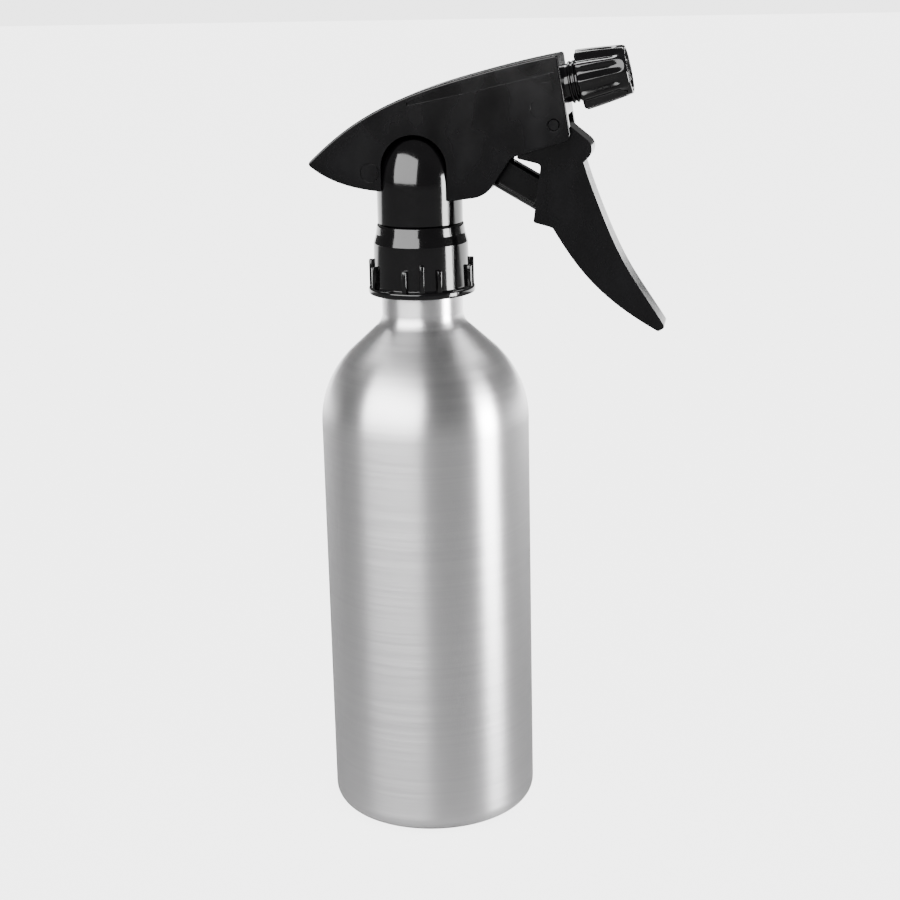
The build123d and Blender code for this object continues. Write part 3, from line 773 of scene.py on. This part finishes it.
def make_pump_nose():
    outline = rounded([
        (0, -50.0, 0),
        (4.6, -50.0, 0.3),
        (4.6, -8.6, 0),
        (6.5, -8.6, 0.3),
        (6.5, -6.6, 0.3),
        (nose_r, -6.5, 0.2),
        (nose_r, 2.4, 0.3),
        (4.4, 2.5, 0.2),
        (4.4, 8.0, 0.3),
        (2.6, 8.0, 0.2),
        (2.6, -9.0, 0),
        (0, -9.6, 0),
    ])
    mesh = lathe_mesh("pump_nose", outline, nozzle_frame, segments=96)
    return link("pump_nose", mesh, finishes["black_gloss"])


def make_pump_cylinder():
    outline = rounded([
        (0, 19.5, 0),
        (5.5, 19.5, 0.4),
        (5.5, 4.5, 0.25),
        (6.6, 4.5, 0.25),
        (6.6, 21.5, 0.5),
        (0, 21.5, 0),
    ])
    mesh = lathe_mesh("pump_cylinder", outline, piston_frame, segments=96)
    return link("pump_cylinder", mesh, finishes["black_gloss"])


pump_column = make_pump_column()
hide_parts("pump_body")
nose_start = nozzle_frame @ Matrix.Translation((0, 0, -3.2 * MM))
nose_thread = make_thread("nose_thread", nose_start, finishes["black_gloss"], nose_r + 0.1, 1.3, 4.0, 0.5)
for piece in (pump_column, make_pump_nose(), make_pump_cylinder(), nose_thread):
    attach(piece, "head")

# %% [markdown]
# ## Nozzle cap
# The cap is a barrel with eleven long grooves for the fingers. A lathe gives the barrel with its
# bore and the ring round the orifice; Geometry Nodes then press the grooves in. For each point
# they take the angle round the axis, turn it into a wave with eleven dips, and move the point
# inwards by it, fading out towards the front so that the rim stays round.

# %% Flute tree
def flute_tree(finish):
    tree, inputs, output = new_tree("flutes", Count=11, Depth=0.001, Skin=0.007, Front=0.015)
    position = add_node(tree, "GeometryNodeInputPosition")
    parts = add_node(tree, "ShaderNodeSeparateXYZ")
    tree.links.new(position.outputs[0], parts.inputs[0])

    def math(operation, first, second=None, third=None):
        node = add_node(tree, "ShaderNodeMath", operation=operation)
        for socket, value in zip(node.inputs, (first, second, third)):
            if isinstance(value, (int, float)):
                socket.default_value = value
            elif value is not None:
                tree.links.new(value, socket)
        return node.outputs[0]

    around = math("ARCTAN2", parts.outputs["Y"], parts.outputs["X"])
    turned = math("MULTIPLY", around, inputs.outputs["Count"])
    wave = math("MULTIPLY_ADD", math("COSINE", turned), 0.5, 0.5)
    groove = math("POWER", wave, 0.75)
    radius = math("SQRT", math("MULTIPLY_ADD", parts.outputs["X"], parts.outputs["X"],
                               math("MULTIPLY", parts.outputs["Y"], parts.outputs["Y"])))
    on_skin = math("GREATER_THAN", radius, inputs.outputs["Skin"])
    ahead = math("SUBTRACT", inputs.outputs["Front"], parts.outputs["Z"])
    left = math("DIVIDE", ahead, inputs.outputs["Front"])
    fade = math("MINIMUM", math("MAXIMUM", math("MULTIPLY", left, 4.0), 0.0), 1.0)
    dip = math("MULTIPLY", groove, inputs.outputs["Depth"])
    press = math("MULTIPLY", dip, math("MULTIPLY", fade, on_skin))
    shrink = math("SUBTRACT", 0.0, math("DIVIDE", press, math("MAXIMUM", radius, 0.0001)))
    offset = add_node(tree, "ShaderNodeCombineXYZ")
    tree.links.new(math("MULTIPLY", parts.outputs["X"], shrink), offset.inputs["X"])
    tree.links.new(math("MULTIPLY", parts.outputs["Y"], shrink), offset.inputs["Y"])
    move = add_node(tree, "GeometryNodeSetPosition")
    tree.links.new(inputs.outputs["Geometry"], move.inputs["Geometry"])
    tree.links.new(offset.outputs["Vector"], move.inputs["Offset"])
    close_tree(tree, move.outputs["Geometry"], finish, output)
    return tree


# %% Cap
cap_length = 15.1
cap_back_r = 9.25
cap_front_r = 7.4
flute_count = 11


def make_cap():
    def side(height):
        share = height / cap_length
        return cap_back_r + (cap_front_r - cap_back_r) * share ** 1.25

    skin = [(side(height), height) for height in (0.9, 2.2, 3.6, 5.0, 6.5, 8.0, 9.5, 11.0, 12.3, 13.3, 14.1)]
    outline = [(6.65, 0.0), (cap_back_r - 0.75, 0.0), (cap_back_r - 0.25, 0.15), (cap_back_r - 0.05, 0.45)]
    outline += skin + [(cap_front_r - 0.02, cap_length - 0.5), (cap_front_r - 0.25, cap_length - 0.12)]
    outline += [(cap_front_r - 0.6, cap_length), (6.5, cap_length), (6.3, cap_length - 0.2)]
    outline += [(6.3, cap_length - 1.8)]
    outline += [(3.3, cap_length - 1.8), (3.3, cap_length - 0.35), (3.1, cap_length - 0.1)]
    outline += [(2.3, cap_length - 0.1)]
    outline += [(2.3, cap_length - 3.1), (5.2, cap_length - 3.1), (5.2, 7.4), (6.65, 7.4)]
    blank = lathe_mesh("nozzle_cap_skin", outline, segments=22 * flute_count)
    sizes = {"Count": flute_count, "Depth": 1.0 * MM, "Skin": 7.2 * MM, "Front": (cap_length - 0.3) * MM}
    mesh = grow("nozzle_cap_skin", blank, flute_tree(finishes["black_gloss"]), **sizes)
    mesh.transform(nozzle_frame)
    return link("nozzle_cap_skin", mesh, finishes["black_gloss"], sharp=50)


nozzle_cap_skin = make_cap()
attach(nozzle_cap_skin, "nozzle")
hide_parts("nozzle_cap")

# %% [markdown]
# ## Softened mouldings
# The shroud halves, the trigger and the piston rod have the right shape in the model, but their
# edges are sharp. A moulded edge is always a little round, and on black plastic that roundness is
# the thin bright line the eye sees. Each is copied, its triangles are merged into whole faces,
# a Bevel modifier rounds every edge that turns sharply, and weighted normals keep the flats flat.

# %% Round the edges of a copy
def softened(node_name, name, width, sharp=28, segments=2):
    shape = bmesh.new()
    shape.from_mesh(frame["nodes"][node_name].data)
    bmesh.ops.remove_doubles(shape, verts=shape.verts, dist=0.002 * MM)
    bmesh.ops.dissolve_limit(shape, angle_limit=radians(0.6), verts=shape.verts, edges=shape.edges)
    mesh = bpy.data.meshes.new(name)
    shape.to_mesh(mesh)
    shape.free()
    piece = link(name, mesh, finishes[slot_of[node_name]], sharp=sharp)
    bevel = piece.modifiers.new("rounded_edges", "BEVEL")
    bevel.width = width * MM
    bevel.segments = segments
    bevel.limit_method = "ANGLE"
    bevel.angle_limit = radians(sharp)
    bevel.use_clamp_overlap = True
    even = piece.modifiers.new("even_shading", "WEIGHTED_NORMAL")
    even.keep_sharp = True
    ready = piece.evaluated_get(bpy.context.evaluated_depsgraph_get())
    finished = bpy.data.meshes.new_from_object(ready)
    piece.modifiers.clear()
    piece.data = finished
    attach(piece, body_of[node_name])
    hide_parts(node_name)
    return piece


body_of = {node: body for body, nodes in frame["record"]["behaviour"]["bodies"].items() for node in nodes}
edge_widths = {"trigger": 0.35, "shroud_right": 0.2, "shroud_left": 0.2, "piston_rod": 0.25}
for node_name, width in edge_widths.items():
    softened(node_name, node_name + "_moulding", width)
